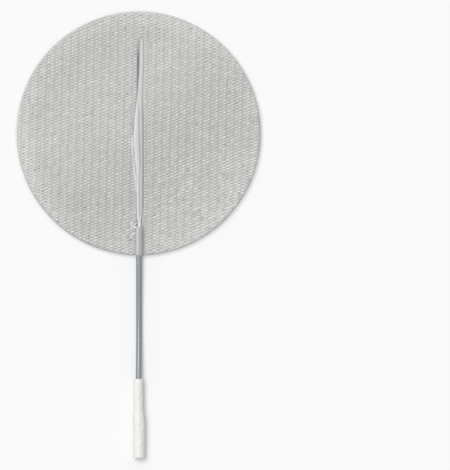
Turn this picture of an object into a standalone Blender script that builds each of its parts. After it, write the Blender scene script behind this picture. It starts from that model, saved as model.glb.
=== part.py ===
"""Round electrotherapy electrode pad with a pigtail lead, lying with its skin side up.

Metres, +Z up. The origin is the middle of the pad's back face. The wales of the knit run
along Y, and the lead leaves the pad towards -Y and ends in a female socket.
"""

import math

import bmesh
import bpy
from mathutils import Vector

MM = 0.001

# Space between pieces that touch
SEAT_GAP = 0.3 * MM

# Pad layers
PAD_DIAMETER = 75.0 * MM
BACKING_THICKNESS = 0.9 * MM
GEL_THICKNESS = 0.8 * MM

# Knit of the backing
WALE_PITCH = 1.22 * MM
CREST_WIDTH = 0.55 * MM
WALE_RELIEF = 0.17 * MM
PAIR_RELIEF = 0.1 * MM
COURSE_PITCH = 0.94 * MM

# Conductor, laid as a flat ribbon in a channel of the backing
OUTER_STRANDS = 6
SHORT_STRANDS = 3
STRAND_DIAMETER = 0.22 * MM
STRAND_SPACE = 0.03 * MM
CHANNEL_FLOOR = 0.4 * MM
CHANNEL_CLEARANCE = 0.1 * MM
CHANNEL_END_INSET = 7.8 * MM
CHANNEL_OFFSET = 0.32 * MM
STRAND_END_INSET = 0.6 * MM
SHORT_STRAND_END = 10.5 * MM
SHORT_STRAND_STAGGER = 1.2 * MM
SPREAD_LENGTH = 5.0 * MM

# The channel's left wall and the short strands beside it bow out here
BOW_DEPTH = 0.75 * MM
BOW_CENTRE = -0.5 * MM
BOW_HALF_LENGTH = 9.5 * MM

# Eyelets, the open stitches in the channel's floor
EYELET_WIDTH = 0.56 * MM
EYELET_HEIGHT = 0.5 * MM
EYELET_START = 2.3 * MM

# Lead jacket
JACKET_DIAMETER = 1.8 * MM
JACKET_INSET = 8.3 * MM
JACKET_OFFSET = 0.1 * MM
WELT_WALL = 0.25 * MM
WELT_NOSE = 7.0 * MM
FREE_LEAD = 38.4 * MM

# The lead's free route: share of its length, X, and height of its underside
FREE_ROUTE = (
    (0.15, 0.10 * MM, 0.60 * MM),
    (0.42, 0.10 * MM, 0.12 * MM),
    (0.66, 0.09 * MM, 0.18 * MM),
    (0.88, 0.05 * MM, 0.90 * MM),
)

# Socket contact, a turned tube for a 2 mm pin
PIN_BORE_DIAMETER = 2.05 * MM
PIN_BORE_DEPTH = 10.0 * MM
BORE_CHAMFER = 0.2 * MM
CONTACT_WALL = 0.3 * MM
CONTACT_FLOOR = 1.5 * MM
COLLAR_HEIGHT = 0.1 * MM
COLLAR_LENGTH = 1.6 * MM
SLOT_WIDTH = 0.35 * MM
SLOT_DEPTH = 6.0 * MM
BARREL_WALL = 0.35 * MM
BARREL_LENGTH = 5.5 * MM
BARREL_BORE_DEPTH = 4.6 * MM
CRIMP_DENTS = 2
CRIMP_DENT_DEPTH = 0.2 * MM
CRIMP_DENT_RADIUS = 0.8 * MM

# Shrunk sleeve over the contact
SLEEVE_WALL = 0.35 * MM
RIM_FLARE = 0.05 * MM
RIM_LENGTH = 0.7 * MM
MOUTH_RECESS = 0.8 * MM
SHOULDER_LENGTH = 3.2 * MM
TAIL_LENGTH = 5.8 * MM
TAIL_GAP = 0.5 * MM

# Facets
PAD_SEGMENTS = 128
TURNED_SEGMENTS = 24
CUT_OVERRUN = 1.0 * MM

# Sizes that follow from those above
PAD_RADIUS = PAD_DIAMETER / 2
GEL_BOTTOM = BACKING_THICKNESS + SEAT_GAP
GEL_TOP = GEL_BOTTOM + GEL_THICKNESS
STRANDS = OUTER_STRANDS + 1
STRAND_PITCH = STRAND_DIAMETER + STRAND_SPACE
STRAND_RING = max(STRAND_PITCH, STRAND_PITCH / (2 * math.sin(math.pi / OUTER_STRANDS)))
CORE_RADIUS = STRAND_RING + STRAND_DIAMETER / 2
RIBBON_WIDTH = STRANDS * STRAND_PITCH - STRAND_SPACE
RIBBON_HEIGHT = (CHANNEL_FLOOR + GEL_BOTTOM) / 2
CHANNEL_WIDTH = RIBBON_WIDTH + 2 * CHANNEL_CLEARANCE
CHANNEL_RIGHT = CHANNEL_OFFSET + CHANNEL_WIDTH / 2
CHANNEL_LEFT = CHANNEL_OFFSET - CHANNEL_WIDTH / 2
CHANNEL_END = PAD_RADIUS - CHANNEL_END_INSET
JACKET_RADIUS = JACKET_DIAMETER / 2
JACKET_HEIGHT = CHANNEL_FLOOR + SEAT_GAP + JACKET_RADIUS
JACKET_END = -PAD_RADIUS + JACKET_INSET
FAN_START = JACKET_END + SEAT_GAP
PIN_BORE_RADIUS = PIN_BORE_DIAMETER / 2
CONTACT_RADIUS = PIN_BORE_RADIUS + CONTACT_WALL
COLLAR_RADIUS = CONTACT_RADIUS + COLLAR_HEIGHT
CONTACT_BACK = MOUTH_RECESS + PIN_BORE_DEPTH + CONTACT_FLOOR
BARREL_BORE_RADIUS = CORE_RADIUS + SEAT_GAP
BARREL_RADIUS = BARREL_BORE_RADIUS + BARREL_WALL
BARREL_END = CONTACT_BACK + BARREL_LENGTH
JACKET_STOP = BARREL_END + TAIL_GAP
SLEEVE_LENGTH = JACKET_STOP + TAIL_LENGTH
SLEEVE_REST = CONTACT_RADIUS + SEAT_GAP + SLEEVE_WALL + max(COLLAR_HEIGHT, RIM_FLARE)
SLEEVE_TAIL = -PAD_RADIUS - FREE_LEAD
SLEEVE_MOUTH = SLEEVE_TAIL - SLEEVE_LENGTH

COLOURS = {
    "knit": ((0.54, 0.54, 0.53), 0.75, 0.25),
    "gel": ((0.82, 0.84, 0.84), 0.15, 0.0),
    "jacket": ((0.33, 0.36, 0.39), 0.35, 0.0),
    "steel_strand": ((0.62, 0.62, 0.62), 0.4, 0.8),
    "plated_contact": ((0.7, 0.68, 0.62), 0.25, 1.0),
    "sleeve": ((0.8, 0.81, 0.78), 0.45, 0.0),
}


# Scene and materials

def clear_scene():
    for obj in list(bpy.data.objects):
        bpy.data.objects.remove(obj, do_unlink=True)


def new_collection(name):
    collection = bpy.data.collections.new(name)
    bpy.context.scene.collection.children.link(collection)
    return collection


def make_materials():
    materials = {}
    for name, (colour, roughness, metallic) in COLOURS.items():
        material = bpy.data.materials.new(name)
        material.use_nodes = True
        shader = material.node_tree.nodes["Principled BSDF"]
        shader.inputs["Base Color"].default_value = (*colour, 1.0)
        shader.inputs["Roughness"].default_value = roughness
        shader.inputs["Metallic"].default_value = metallic
        materials[name] = material
    return materials


# Building blocks

def add_object(name, data, collection):
    obj = bpy.data.objects.new(name, data)
    collection.objects.link(obj)
    return obj


def smooth_step(share):
    share = min(1.0, max(0.0, share))
    return share * share * (3 - 2 * share)


def as_mesh(source, collection):
    """Replaces a curve or a modified object by a mesh of its shape, with loose caps welded on."""
    bpy.context.view_layer.update()
    evaluated = source.evaluated_get(bpy.context.evaluated_depsgraph_get())
    mesh = bpy.data.meshes.new_from_object(evaluated)
    work = bmesh.new()
    work.from_mesh(mesh)
    bmesh.ops.remove_doubles(work, verts=work.verts, dist=1e-7)
    bmesh.ops.recalc_face_normals(work, faces=work.faces)
    work.to_mesh(mesh)
    work.free()
    name, matrix = source.name, source.matrix_world.copy()
    bpy.data.objects.remove(source, do_unlink=True)
    obj = add_object(name, mesh, collection)
    obj.matrix_world = matrix
    return obj


def tube(name, points, radius, collection, resolution=2):
    """A round tube with closed ends along a polyline."""
    curve = bpy.data.curves.new(name, "CURVE")
    curve.dimensions = "3D"
    curve.bevel_depth = radius
    curve.bevel_resolution = resolution
    curve.use_fill_caps = True
    spline = curve.splines.new("POLY")
    spline.points.add(len(points) - 1)
    for point, place in zip(spline.points, points):
        point.co = (*place, 1.0)
    return add_object(name, curve, collection)


def plate(name, outline, low, high, collection):
    """A flat outline in XY, given thickness from low to high in Z."""
    curve = bpy.data.curves.new(name, "CURVE")
    curve.dimensions = "2D"
    curve.fill_mode = "BOTH"
    curve.extrude = (high - low) / 2
    spline = curve.splines.new("POLY")
    spline.points.add(len(outline) - 1)
    for point, (x, y) in zip(spline.points, outline):
        point.co = (x, y, 0.0, 1.0)
    spline.use_cyclic_u = True
    obj = add_object(name, curve, collection)
    obj.location.z = (low + high) / 2
    return obj


def disc(name, radius, low, high, collection):
    mesh = bpy.data.meshes.new(name)
    work = bmesh.new()
    bmesh.ops.create_cone(
        work, cap_ends=True, segments=PAD_SEGMENTS, radius1=radius, radius2=radius, depth=high - low
    )
    work.to_mesh(mesh)
    work.free()
    obj = add_object(name, mesh, collection)
    obj.location.z = (low + high) / 2
    return obj


def box(name, low, high, collection):
    low, high = Vector(low), Vector(high)
    mesh = bpy.data.meshes.new(name)
    work = bmesh.new()
    bmesh.ops.create_cube(work, size=1.0)
    bmesh.ops.scale(work, vec=high - low, verts=work.verts)
    work.to_mesh(mesh)
    work.free()
    obj = add_object(name, mesh, collection)
    obj.location = (low + high) / 2
    return obj


def turned(name, profile, collection, closed):
    """A profile of (radius, height) turned about the socket's axis.

    Height 0 is at the sleeve's mouth, and height grows towards the pad.
    """
    mesh = bpy.data.meshes.new(name)
    points = [(radius, 0.0, height) for radius, height in profile]
    edges = [(index, index + 1) for index in range(len(points) - 1)]
    if closed:
        edges.append((len(points) - 1, 0))
    mesh.from_pydata(points, edges, [])
    obj = add_object(name, mesh, collection)
    screw = obj.modifiers.new("turn", "SCREW")
    screw.axis = "Z"
    screw.steps = screw.render_steps = TURNED_SEGMENTS
    screw.use_merge_vertices = True
    screw.merge_threshold = 1e-6
    obj.location = (0.0, SLEEVE_MOUTH, SLEEVE_REST)
    obj.rotation_euler = (math.radians(-90), 0.0, 0.0)
    return as_mesh(obj, collection)


def combine(obj, other, operation):
    modifier = obj.modifiers.new(f"{operation.lower()} {other.name}", "BOOLEAN")
    modifier.operation = operation
    modifier.solver = "EXACT"
    modifier.object = other
    other.hide_render = True
    other.display_type = "WIRE"


def finish(obj, material):
    obj.data.materials.clear()
    obj.data.materials.append(material)
    if obj.type == "MESH":
        obj.data.shade_smooth()
        obj.data.set_sharp_from_angle(angle=math.radians(35))
    return obj


# Knitted backing

def wale_line(face, inward):
    """The knit's section along one face, from -X to +X: a flat crest on each wale and a valley
    on each side of it, which is shallower between the two wales of a pair. The channel's middle
    lies on a crest."""
    wales = 2 * math.ceil((PAD_RADIUS / WALE_PITCH + 1) / 2)
    points = []
    for wale in range(-wales, wales + 1):
        left = CHANNEL_OFFSET + (wale - 0.5) * WALE_PITCH
        relief = WALE_RELIEF if wale % 2 == 0 else PAIR_RELIEF
        crest_start = left + (WALE_PITCH - CREST_WIDTH) / 2
        points.append((left, face + inward * relief))
        if wale < wales:
            points.append((crest_start, face))
            points.append((crest_start + CREST_WIDTH, face))
    return points


def ribbed_cloth(collection):
    """The knit's section, run through the pad's whole length."""
    half_length = PAD_RADIUS + CUT_OVERRUN
    outline = wale_line(0.0, 1.0) + wale_line(BACKING_THICKNESS, -1.0)[::-1]
    cloth = plate("knit_backing", outline, -half_length, half_length, collection)
    cloth.rotation_euler.x = math.radians(90)
    return as_mesh(cloth, collection)


def bow(y):
    """How far the short strands and the wall beside them stand out to the left at y."""
    return BOW_DEPTH * smooth_step(1 - abs(y - BOW_CENTRE) / BOW_HALF_LENGTH)


def jacket_room(side):
    """X of the channel's wall on one side of the jacket."""
    jacket_side = JACKET_OFFSET + side * (JACKET_RADIUS + SEAT_GAP)
    return max(CHANNEL_RIGHT, jacket_side) if side > 0 else min(CHANNEL_LEFT, jacket_side)


def channel_left(y):
    flare = (CHANNEL_LEFT - jacket_room(-1)) * smooth_step(1 - (y - FAN_START) / SPREAD_LENGTH)
    return CHANNEL_LEFT - bow(y) - flare


def channel_outline():
    """The channel seen from above, closed at its far end by a half circle."""
    end_radius = CHANNEL_WIDTH / 2
    start, end = -PAD_RADIUS - CUT_OVERRUN, CHANNEL_END - end_radius
    outline = [(jacket_room(1), start), (jacket_room(1), FAN_START)]
    outline.append((CHANNEL_RIGHT, FAN_START + SPREAD_LENGTH))
    steps = 8
    for step in range(steps + 1):
        angle = math.pi * step / steps
        outline.append(
            (CHANNEL_OFFSET + end_radius * math.cos(angle), end + end_radius * math.sin(angle))
        )
    wall_steps = 26
    for step in range(1, wall_steps + 1):
        y = end + (start - end) * step / wall_steps
        outline.append((channel_left(y), y))
    return outline


def eyelet_cutter(collection):
    """Two columns of open stitches through the channel's floor, in the valleys of the knit."""
    first = JACKET_END + EYELET_START
    last = CHANNEL_END - CHANNEL_WIDTH / 2
    rows = 1 + int((last - first) / COURSE_PITCH)
    height = 2 * (BACKING_THICKNESS + CUT_OVERRUN)
    mesh = bpy.data.meshes.new("eyelets")
    work = bmesh.new()
    for row in range(rows):
        for side in (-0.5, 0.5):
            eyelet = bmesh.ops.create_cone(
                work, cap_ends=True, segments=6, radius1=0.5, radius2=0.5, depth=height
            )["verts"]
            bmesh.ops.scale(work, vec=(EYELET_WIDTH, EYELET_HEIGHT, 1.0), verts=eyelet)
            place = (CHANNEL_OFFSET + side * WALE_PITCH, first + row * COURSE_PITCH, 0.0)
            bmesh.ops.translate(work, vec=place, verts=eyelet)
    work.to_mesh(mesh)
    work.free()
    return add_object("eyelets", mesh, collection)


def make_backing(parts, cutters, material):
    backing = ribbed_cloth(parts)
    high = BACKING_THICKNESS + CUT_OVERRUN
    die = disc("pad_die", PAD_RADIUS, -CUT_OVERRUN, high, cutters)
    channel = plate("channel", channel_outline(), CHANNEL_FLOOR, high, cutters)
    combine(backing, die, "INTERSECT")
    combine(backing, as_mesh(channel, cutters), "DIFFERENCE")
    combine(backing, eyelet_cutter(cutters), "DIFFERENCE")
    return finish(backing, material)


# Hydrogel layer

def lead_passage(name, radius, start, collection):
    """A tube round the jacket, whose far end dips under the gel where the strands fan out."""
    nose_steps = 6
    dipped = GEL_BOTTOM - radius - SEAT_GAP
    points = [(JACKET_OFFSET, start, JACKET_HEIGHT)]
    for step in range(nose_steps + 1):
        share = smooth_step(step / nose_steps)
        points.append((
            JACKET_OFFSET + (CHANNEL_OFFSET - JACKET_OFFSET) * share,
            JACKET_END + WELT_NOSE * step / nose_steps,
            JACKET_HEIGHT + (dipped - JACKET_HEIGHT) * share,
        ))
    return as_mesh(tube(name, points, radius, collection, resolution=6), collection)


def make_gel(parts, cutters, material):
    gel = disc("hydrogel_layer", PAD_RADIUS, GEL_BOTTOM, GEL_TOP, parts)
    tunnel_radius = JACKET_RADIUS + SEAT_GAP
    welt = lead_passage("welt", tunnel_radius + WELT_WALL, -PAD_RADIUS + SEAT_GAP, cutters)
    below_gel = (-PAD_RADIUS, -PAD_DIAMETER, -PAD_RADIUS)
    gel_middle = (PAD_RADIUS, PAD_DIAMETER, (GEL_BOTTOM + GEL_TOP) / 2)
    combine(welt, box("welt_trim", below_gel, gel_middle, cutters), "DIFFERENCE")
    combine(gel, welt, "UNION")
    tunnel = lead_passage("tunnel", tunnel_radius, -PAD_RADIUS - CUT_OVERRUN, cutters)
    combine(gel, tunnel, "DIFFERENCE")
    return finish(gel, material)


# Conductor strands

def packed_places():
    """Where the strands lie in the jacket, one in the middle and the others round it, from left
    to right."""
    places = [(0.0, 0.0)]
    for strand in range(OUTER_STRANDS):
        angle = 2 * math.pi * strand / OUTER_STRANDS
        places.append((round(math.cos(angle), 6), math.sin(angle)))
    places.sort(key=lambda place: (place[0], -place[1]))
    return [(STRAND_RING * x, STRAND_RING * z) for x, z in places]


def laid_x(strand, y):
    """X of a strand in the flat ribbon. The short ones follow the channel's left wall."""
    right = CHANNEL_RIGHT - CHANNEL_CLEARANCE - STRAND_DIAMETER / 2
    x = right - (STRANDS - 1 - strand) * STRAND_PITCH
    return x - bow(y) if strand < SHORT_STRANDS else x


def strand_end(strand):
    if strand < SHORT_STRANDS:
        return SHORT_STRAND_END - (SHORT_STRANDS - 1 - strand) * SHORT_STRAND_STAGGER
    return CHANNEL_END - CHANNEL_WIDTH / 2 - STRAND_END_INSET


def strand_route(strand, packed):
    """Out of the jacket in a bunch, down to the channel's floor, apart, then flat."""
    places = []
    bunch_x, bunch_z = packed
    low_bunch = RIBBON_HEIGHT + STRAND_RING
    fan_steps = 10
    for step in range(fan_steps + 1):
        share = step / fan_steps
        y = FAN_START + SPREAD_LENGTH * share
        down = smooth_step(share / 0.8)
        apart = smooth_step(share / 0.7)
        flat = smooth_step((share - 0.35) / 0.65)
        x = JACKET_OFFSET + bunch_x
        z = JACKET_HEIGHT + (low_bunch - JACKET_HEIGHT) * down + bunch_z
        places.append((x + (laid_x(strand, y) - x) * apart, y, z + (RIBBON_HEIGHT - z) * flat))
    start = FAN_START + SPREAD_LENGTH
    end = strand_end(strand)
    laid_steps = 12 if strand < SHORT_STRANDS else 2
    for step in range(1, laid_steps + 1):
        y = start + (end - start) * step / laid_steps
        places.append((laid_x(strand, y), y, RIBBON_HEIGHT))
    return places


def make_strands(parts, material):
    for strand, packed in enumerate(packed_places()):
        route = strand_route(strand, packed)
        finish(tube(f"strand_{strand + 1}", route, STRAND_DIAMETER / 2, parts), material)


# Lead jacket and the conductor's far end

def smooth_route(places, spacing):
    """Points about spacing apart on a smooth curve through the given places."""
    ends = [2 * places[0] - places[1], *places, 2 * places[-1] - places[-2]]
    points = [places[0]]
    for before, start, stop, after in zip(ends, ends[1:], ends[2:], ends[3:]):
        steps = max(1, round((stop - start).length / spacing))
        for step in range(1, steps + 1):
            share = step / steps
            points.append(0.5 * (
                2 * start
                + (stop - before) * share
                + (2 * before - 5 * start + 4 * stop - after) * share ** 2
                + (3 * start - before - 3 * stop + after) * share ** 3
            ))
    return points


def lead_route():
    """From the stripped end over the pad's rim, down to the surface and up into the sleeve."""
    route = [(JACKET_OFFSET, JACKET_END, JACKET_HEIGHT), (JACKET_OFFSET, -PAD_RADIUS, JACKET_HEIGHT)]
    for share, x, underside in FREE_ROUTE:
        route.append((x, -PAD_RADIUS - share * FREE_LEAD, underside + JACKET_RADIUS))
    route.append((0.0, SLEEVE_TAIL, SLEEVE_REST))
    route.append((0.0, SLEEVE_MOUTH + JACKET_STOP, SLEEVE_REST))
    return [Vector(place) for place in route]


def make_jacket(parts, material):
    points = smooth_route(lead_route(), 2.5 * JACKET_DIAMETER)
    return finish(tube("lead_jacket", points, JACKET_RADIUS, parts), material)


def make_conductor_tail(parts, material):
    """The stripped strands, packed in the crimp barrel: a rod with a lobe for each outer one."""
    start = SLEEVE_MOUTH + JACKET_STOP - SEAT_GAP
    end = SLEEVE_MOUTH + BARREL_END - BARREL_BORE_DEPTH + SEAT_GAP
    steps = 4 * OUTER_STRANDS
    outline = []
    for step in range(steps):
        angle = 2 * math.pi * step / steps
        groove = STRAND_DIAMETER / 4 * (1 - math.cos(OUTER_STRANDS * angle)) / 2
        radius = CORE_RADIUS - groove
        outline.append((radius * math.cos(angle), radius * math.sin(angle)))
    half_length = (start - end) / 2
    rod = plate("conductor_tail", outline, -half_length, half_length, parts)
    rod.rotation_euler.x = math.radians(90)
    rod.location = (0.0, (start + end) / 2, SLEEVE_REST)
    return finish(rod, material)


# Socket contact

def make_contact(parts, cutters, material):
    """A split tube with a blind bore for the pin, a collar, and a crimp barrel behind it."""
    front = MOUTH_RECESS
    bore_end = front + PIN_BORE_DEPTH
    collar_front = CONTACT_BACK - COLLAR_LENGTH
    barrel_bottom = BARREL_END - BARREL_BORE_DEPTH
    profile = [
        (0.0, barrel_bottom - BARREL_BORE_RADIUS / 2),
        (BARREL_BORE_RADIUS, barrel_bottom),
        (BARREL_BORE_RADIUS, BARREL_END),
        (BARREL_RADIUS, BARREL_END),
        (BARREL_RADIUS, CONTACT_BACK),
        (COLLAR_RADIUS, CONTACT_BACK),
        (COLLAR_RADIUS, collar_front),
        (CONTACT_RADIUS, collar_front - COLLAR_HEIGHT),
        (CONTACT_RADIUS, front),
        (PIN_BORE_RADIUS + BORE_CHAMFER, front),
        (PIN_BORE_RADIUS, front + BORE_CHAMFER),
        (PIN_BORE_RADIUS, bore_end),
        (0.0, bore_end + PIN_BORE_RADIUS / 2),
    ]
    contact = turned("socket_contact", profile, parts, closed=False)
    half = SLOT_WIDTH / 2
    reach = CONTACT_RADIUS + CUT_OVERRUN
    slot_end = SLEEVE_MOUTH + front + SLOT_DEPTH
    for name, wide, tall in (("slot_flat", reach, half), ("slot_upright", half, reach)):
        low = (-wide, SLEEVE_MOUTH - CUT_OVERRUN, SLEEVE_REST - tall)
        high = (wide, slot_end, SLEEVE_REST + tall)
        combine(contact, box(name, low, high, cutters), "DIFFERENCE")
    for dent in range(CRIMP_DENTS):
        y = SLEEVE_MOUTH + CONTACT_BACK + BARREL_LENGTH * (dent + 1) / (CRIMP_DENTS + 1)
        z = SLEEVE_REST + BARREL_RADIUS - CRIMP_DENT_DEPTH + CRIMP_DENT_RADIUS
        ends = [(-reach, y, z), (reach, y, z)]
        punch = tube(f"crimp_punch_{dent + 1}", ends, CRIMP_DENT_RADIUS, cutters, resolution=4)
        combine(contact, as_mesh(punch, cutters), "DIFFERENCE")
    return finish(contact, material)


# Sleeve

def make_sleeve(parts, material):
    """A shrunk tube that shows what is in it: a rim, a waist, a bulge over the collar, a tail."""
    socket_bore = CONTACT_RADIUS + SEAT_GAP
    collar_bore = COLLAR_RADIUS + SEAT_GAP
    barrel_bore = BARREL_RADIUS + SEAT_GAP
    jacket_bore = JACKET_RADIUS + SEAT_GAP
    body = socket_bore + SLEEVE_WALL
    bulge = collar_bore + SLEEVE_WALL
    barrel_skin = barrel_bore + SLEEVE_WALL
    tail = jacket_bore + SLEEVE_WALL
    collar_front = CONTACT_BACK - COLLAR_LENGTH - COLLAR_HEIGHT - SEAT_GAP
    shoulder = CONTACT_BACK + SEAT_GAP
    outside = [
        (tail - RIM_FLARE, SLEEVE_LENGTH),
        (tail, SLEEVE_LENGTH - RIM_LENGTH),
        (tail, JACKET_STOP),
        (barrel_skin, BARREL_END - TAIL_GAP),
        (barrel_skin, shoulder + SHOULDER_LENGTH),
        (bulge - RIM_FLARE, shoulder + SHOULDER_LENGTH / 3),
        (bulge, CONTACT_BACK - COLLAR_LENGTH / 2),
        (bulge, collar_front - COLLAR_LENGTH),
        (body, collar_front - 2 * COLLAR_LENGTH),
        (body, 3 * RIM_LENGTH),
        (body + RIM_FLARE, RIM_LENGTH),
        (body + RIM_FLARE, 0.0),
    ]
    inside = [
        (socket_bore, 0.0),
        (socket_bore, collar_front),
        (collar_bore, collar_front + COLLAR_HEIGHT),
        (collar_bore, shoulder),
        (barrel_bore, shoulder),
        (barrel_bore, BARREL_END),
        (jacket_bore, JACKET_STOP - SEAT_GAP),
        (jacket_bore, SLEEVE_LENGTH),
    ]
    return finish(turned("socket_sleeve", outside + inside, parts, closed=True), material)


def main():
    clear_scene()
    parts = new_collection("electrode_pad")
    cutters = new_collection("cutters")
    materials = make_materials()
    make_backing(parts, cutters, materials["knit"])
    make_gel(parts, cutters, materials["gel"])
    make_strands(parts, materials["steel_strand"])
    make_jacket(parts, materials["jacket"])
    make_conductor_tail(parts, materials["steel_strand"])
    make_contact(parts, cutters, materials["plated_contact"])
    make_sleeve(parts, materials["sleeve"])


main()
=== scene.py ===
"""The looks of a round electrotherapy electrode pad: knit cloth under a clear gel, its conductor,
its pigtail lead and the white sleeve of the lead's socket.

Metres, +Z up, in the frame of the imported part. The skin side is up, the knit's wales run along
Y, and the lead leaves the pad's rim towards -Y.
"""

import math
from collections import namedtuple

import bpy
import numpy as np
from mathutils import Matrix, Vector
from mathutils.geometry import delaunay_2d_cdt


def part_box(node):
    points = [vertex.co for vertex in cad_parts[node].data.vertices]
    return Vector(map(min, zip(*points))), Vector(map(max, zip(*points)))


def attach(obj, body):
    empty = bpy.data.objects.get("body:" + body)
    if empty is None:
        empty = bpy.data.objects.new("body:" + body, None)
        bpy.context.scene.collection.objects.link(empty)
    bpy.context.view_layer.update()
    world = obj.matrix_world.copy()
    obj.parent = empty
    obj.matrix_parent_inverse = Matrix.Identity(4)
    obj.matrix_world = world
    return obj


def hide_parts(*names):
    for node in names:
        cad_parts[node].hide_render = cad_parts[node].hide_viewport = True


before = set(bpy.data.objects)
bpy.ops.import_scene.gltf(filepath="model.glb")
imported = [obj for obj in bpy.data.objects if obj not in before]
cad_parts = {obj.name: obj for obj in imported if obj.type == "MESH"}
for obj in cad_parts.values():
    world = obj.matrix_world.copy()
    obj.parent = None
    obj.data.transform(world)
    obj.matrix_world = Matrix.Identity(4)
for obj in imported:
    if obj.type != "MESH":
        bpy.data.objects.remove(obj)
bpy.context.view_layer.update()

MM = 0.001
WHITE = (1.0, 1.0, 1.0, 1.0)

# Places that the frame gives
PAD_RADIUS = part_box("knit_backing")[1].x
SLEEVE_LOW, SLEEVE_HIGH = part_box("socket_sleeve")
SLEEVE_HEIGHT = (SLEEVE_LOW.z + SLEEVE_HIGH.z) / 2
SLEEVE_TAIL = SLEEVE_HIGH.y

# The photograph: its size and the pad in it, in pixels, and the height of the pad's outline
IMAGE_WIDTH = 450
IMAGE_HEIGHT = 470
PAD_CENTRE_PX = (138.6, 133.15)
PAD_RADIUS_PX = 121.65
PAD_FACE = 1.5 * MM
CAMERA_DISTANCE = 1.2
SENSOR = 36.0

# Light: shares of what falls on a level face in the open, and the sun's angles in degrees
SKY_SHARE = 0.45
SUN_SHARE = 0.55
SUN_AZIMUTH = 135.0
SUN_ELEVATION = 67.0
SUN_ANGLE = 38.0

# Sky and floor: how bright they are seen, how much light the floor sends back, and how much of
# its brightness is its own, which makes its shadows as pale as the photograph's
SKY_SEEN = 0.956
FLOOR_SIZE = 12.0
FLOOR_SEEN = 0.953
FLOOR_BOUNCE = 0.62
FLOOR_GLOW = 0.1

# Lead route: the same points as the part's own lead
JACKET_RADIUS = 0.9 * MM
LEAD_ROUTE = [(x * MM, y * MM, z * MM) for x, y, z in (
    (0.1, -29.2, 1.6),
    (0.1, -37.5, 1.6),
    (0.1, -43.26, 1.5),
    (0.1, -53.628, 1.02),
    (0.09, -62.844, 1.08),
    (0.05, -71.292, 1.8),
    (0.0, -75.9, 2.075),
    (0.0, -81.7, 2.075),
)]
JACKET_X, JACKET_END, JACKET_HEIGHT = LEAD_ROUTE[0]

# Knit
WALE_PITCH = 1.22 * MM
COURSE_PITCH = 0.94 * MM
WALE_LEAN = 0.024
CLOTH_TOP = 0.6 * MM
CLOTH_BOTTOM = 0.24 * MM
CHANNEL_FLOOR = 0.4 * MM
GROOVE_FLOOR = 0.3 * MM
CHANNEL_TOP_END = 29.7 * MM
BED_HALF_WIDTH = 1.15 * MM
RIM_ROLL = 0.6 * MM
RIM_GROWTH = 0.13 * MM
EYELET_X = (-0.29 * MM, 0.93 * MM)
EYELET_START = -26.9 * MM
EYELET_END = 28.74 * MM
EYELET_RADIUS = 0.13 * MM

# The knit's skin side on each side of the lead. A step goes to the next column, the phase is in
# courses, the slant of the stitches is in degrees, and their reach is their length.
SkinSide = namedtuple("SkinSide", "name first_x step columns phase rise slant reach")
SKIN_SIDES = (
    SkinSide("knit_yarns_left", -0.25 * MM, -1.211 * MM, 32, 0.0, 0.019, 15.0, 1.02 * MM),
    SkinSide("knit_yarns_right", 0.69 * MM, 1.226 * MM, 31, 0.2, 0.0345, 21.0, 1.08 * MM),
)
BEAD_X = 1.86 * MM
BEAD_TOP = 10.0 * MM
BEAD_BOTTOM = -25.0 * MM

# The knit's back: smooth ribs on each side of the middle one, and the middle one's X
BACK_RIBS = 16
BACK_RIB_X = 0.32 * MM

# The cloth's slow change of tone: length of its wave, and where it is darkest
TONE_WAVE = 52.5 * MM
TONE_WAVE_DARKEST = 11.4 * MM

# Mesh of the cloth: its grid, the finer one along the lead and its limits, points round the cut
# edge and an eyelet, and rings inside the cut edge, as distance from it in mm and points
CLOTH_GRID = 0.59 * MM
FINE_GRID = (0.24 * MM, 0.45 * MM)
FINE_LEFT, FINE_RIGHT, FINE_END = -2.6 * MM, 2.2 * MM, 30.5 * MM
RIM_POINTS = 400
EYELET_POINTS = 6
CLOTH_RINGS = ((0.12, 400), (0.3, 320), (0.55, 260))

# Gel, and in degrees where its lip is widest and where its edge shades the cloth most
GEL_FACE = 1.0 * MM
GEL_TOP = 2.0 * MM
GEL_LIP = 0.3 * MM
GEL_LIP_TOWARDS = 150.0
RIM_SHADE_TOWARDS = 280.0
TUNNEL_RADIUS = 1.15 * MM
TUNNEL_HEIGHT = 1.52 * MM
WELT_WIDTH = 1.35 * MM
WELT_HEIGHT = 0.72 * MM
EDGE_ROUNDING = 2.4 * MM

# Mesh of the gel: its grid, the limits of the finer one, and rings inside its edge, in mm
GEL_GRID = 1.1 * MM
GEL_FINE_HALF_WIDTH = 3.4 * MM
GEL_FINE_END = -21 * MM
GEL_RINGS = (0.0, 0.02, 0.08, 0.18, 0.33, 0.55, 0.85, 1.2, 1.6, 2.0, 2.4)

# The conductor's ribbon, seen from above, in mm: Y, left edge, valley between its two lobes,
# right edge
RIBBON_ROWS = [
    (29.4, 0.37, 0.87, 1.48),
    (24.0, 0.26, 0.82, 1.60),
    (20.4, 0.17, 0.72, 1.64),
    (18.5, 0.10, 0.67, 1.58),
    (16.6, -0.02, 0.52, 1.42),
    (12.9, -0.30, 0.22, 1.29),
    (7.4, -1.00, 0.00, 1.24),
    (3.7, -1.41, 0.27, 1.24),
    (-1.6, -1.68, 0.37, 1.24),
    (-4.1, -1.68, 0.49, 1.24),
    (-7.5, -1.25, 0.67, 1.24),
    (-9.3, -1.03, 0.65, 1.24),
    (-14.0, -0.70, 0.31, 1.24),
    (-19.2, -0.73, 0.33, 1.22),
    (-24.5, -0.62, 0.37, 1.10),
    (-26.6, -0.62, 0.38, 0.92),
    (-27.7, -0.33, 0.33, 0.80),
    (-29.2, -0.20, 0.32, 0.78),
]

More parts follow.
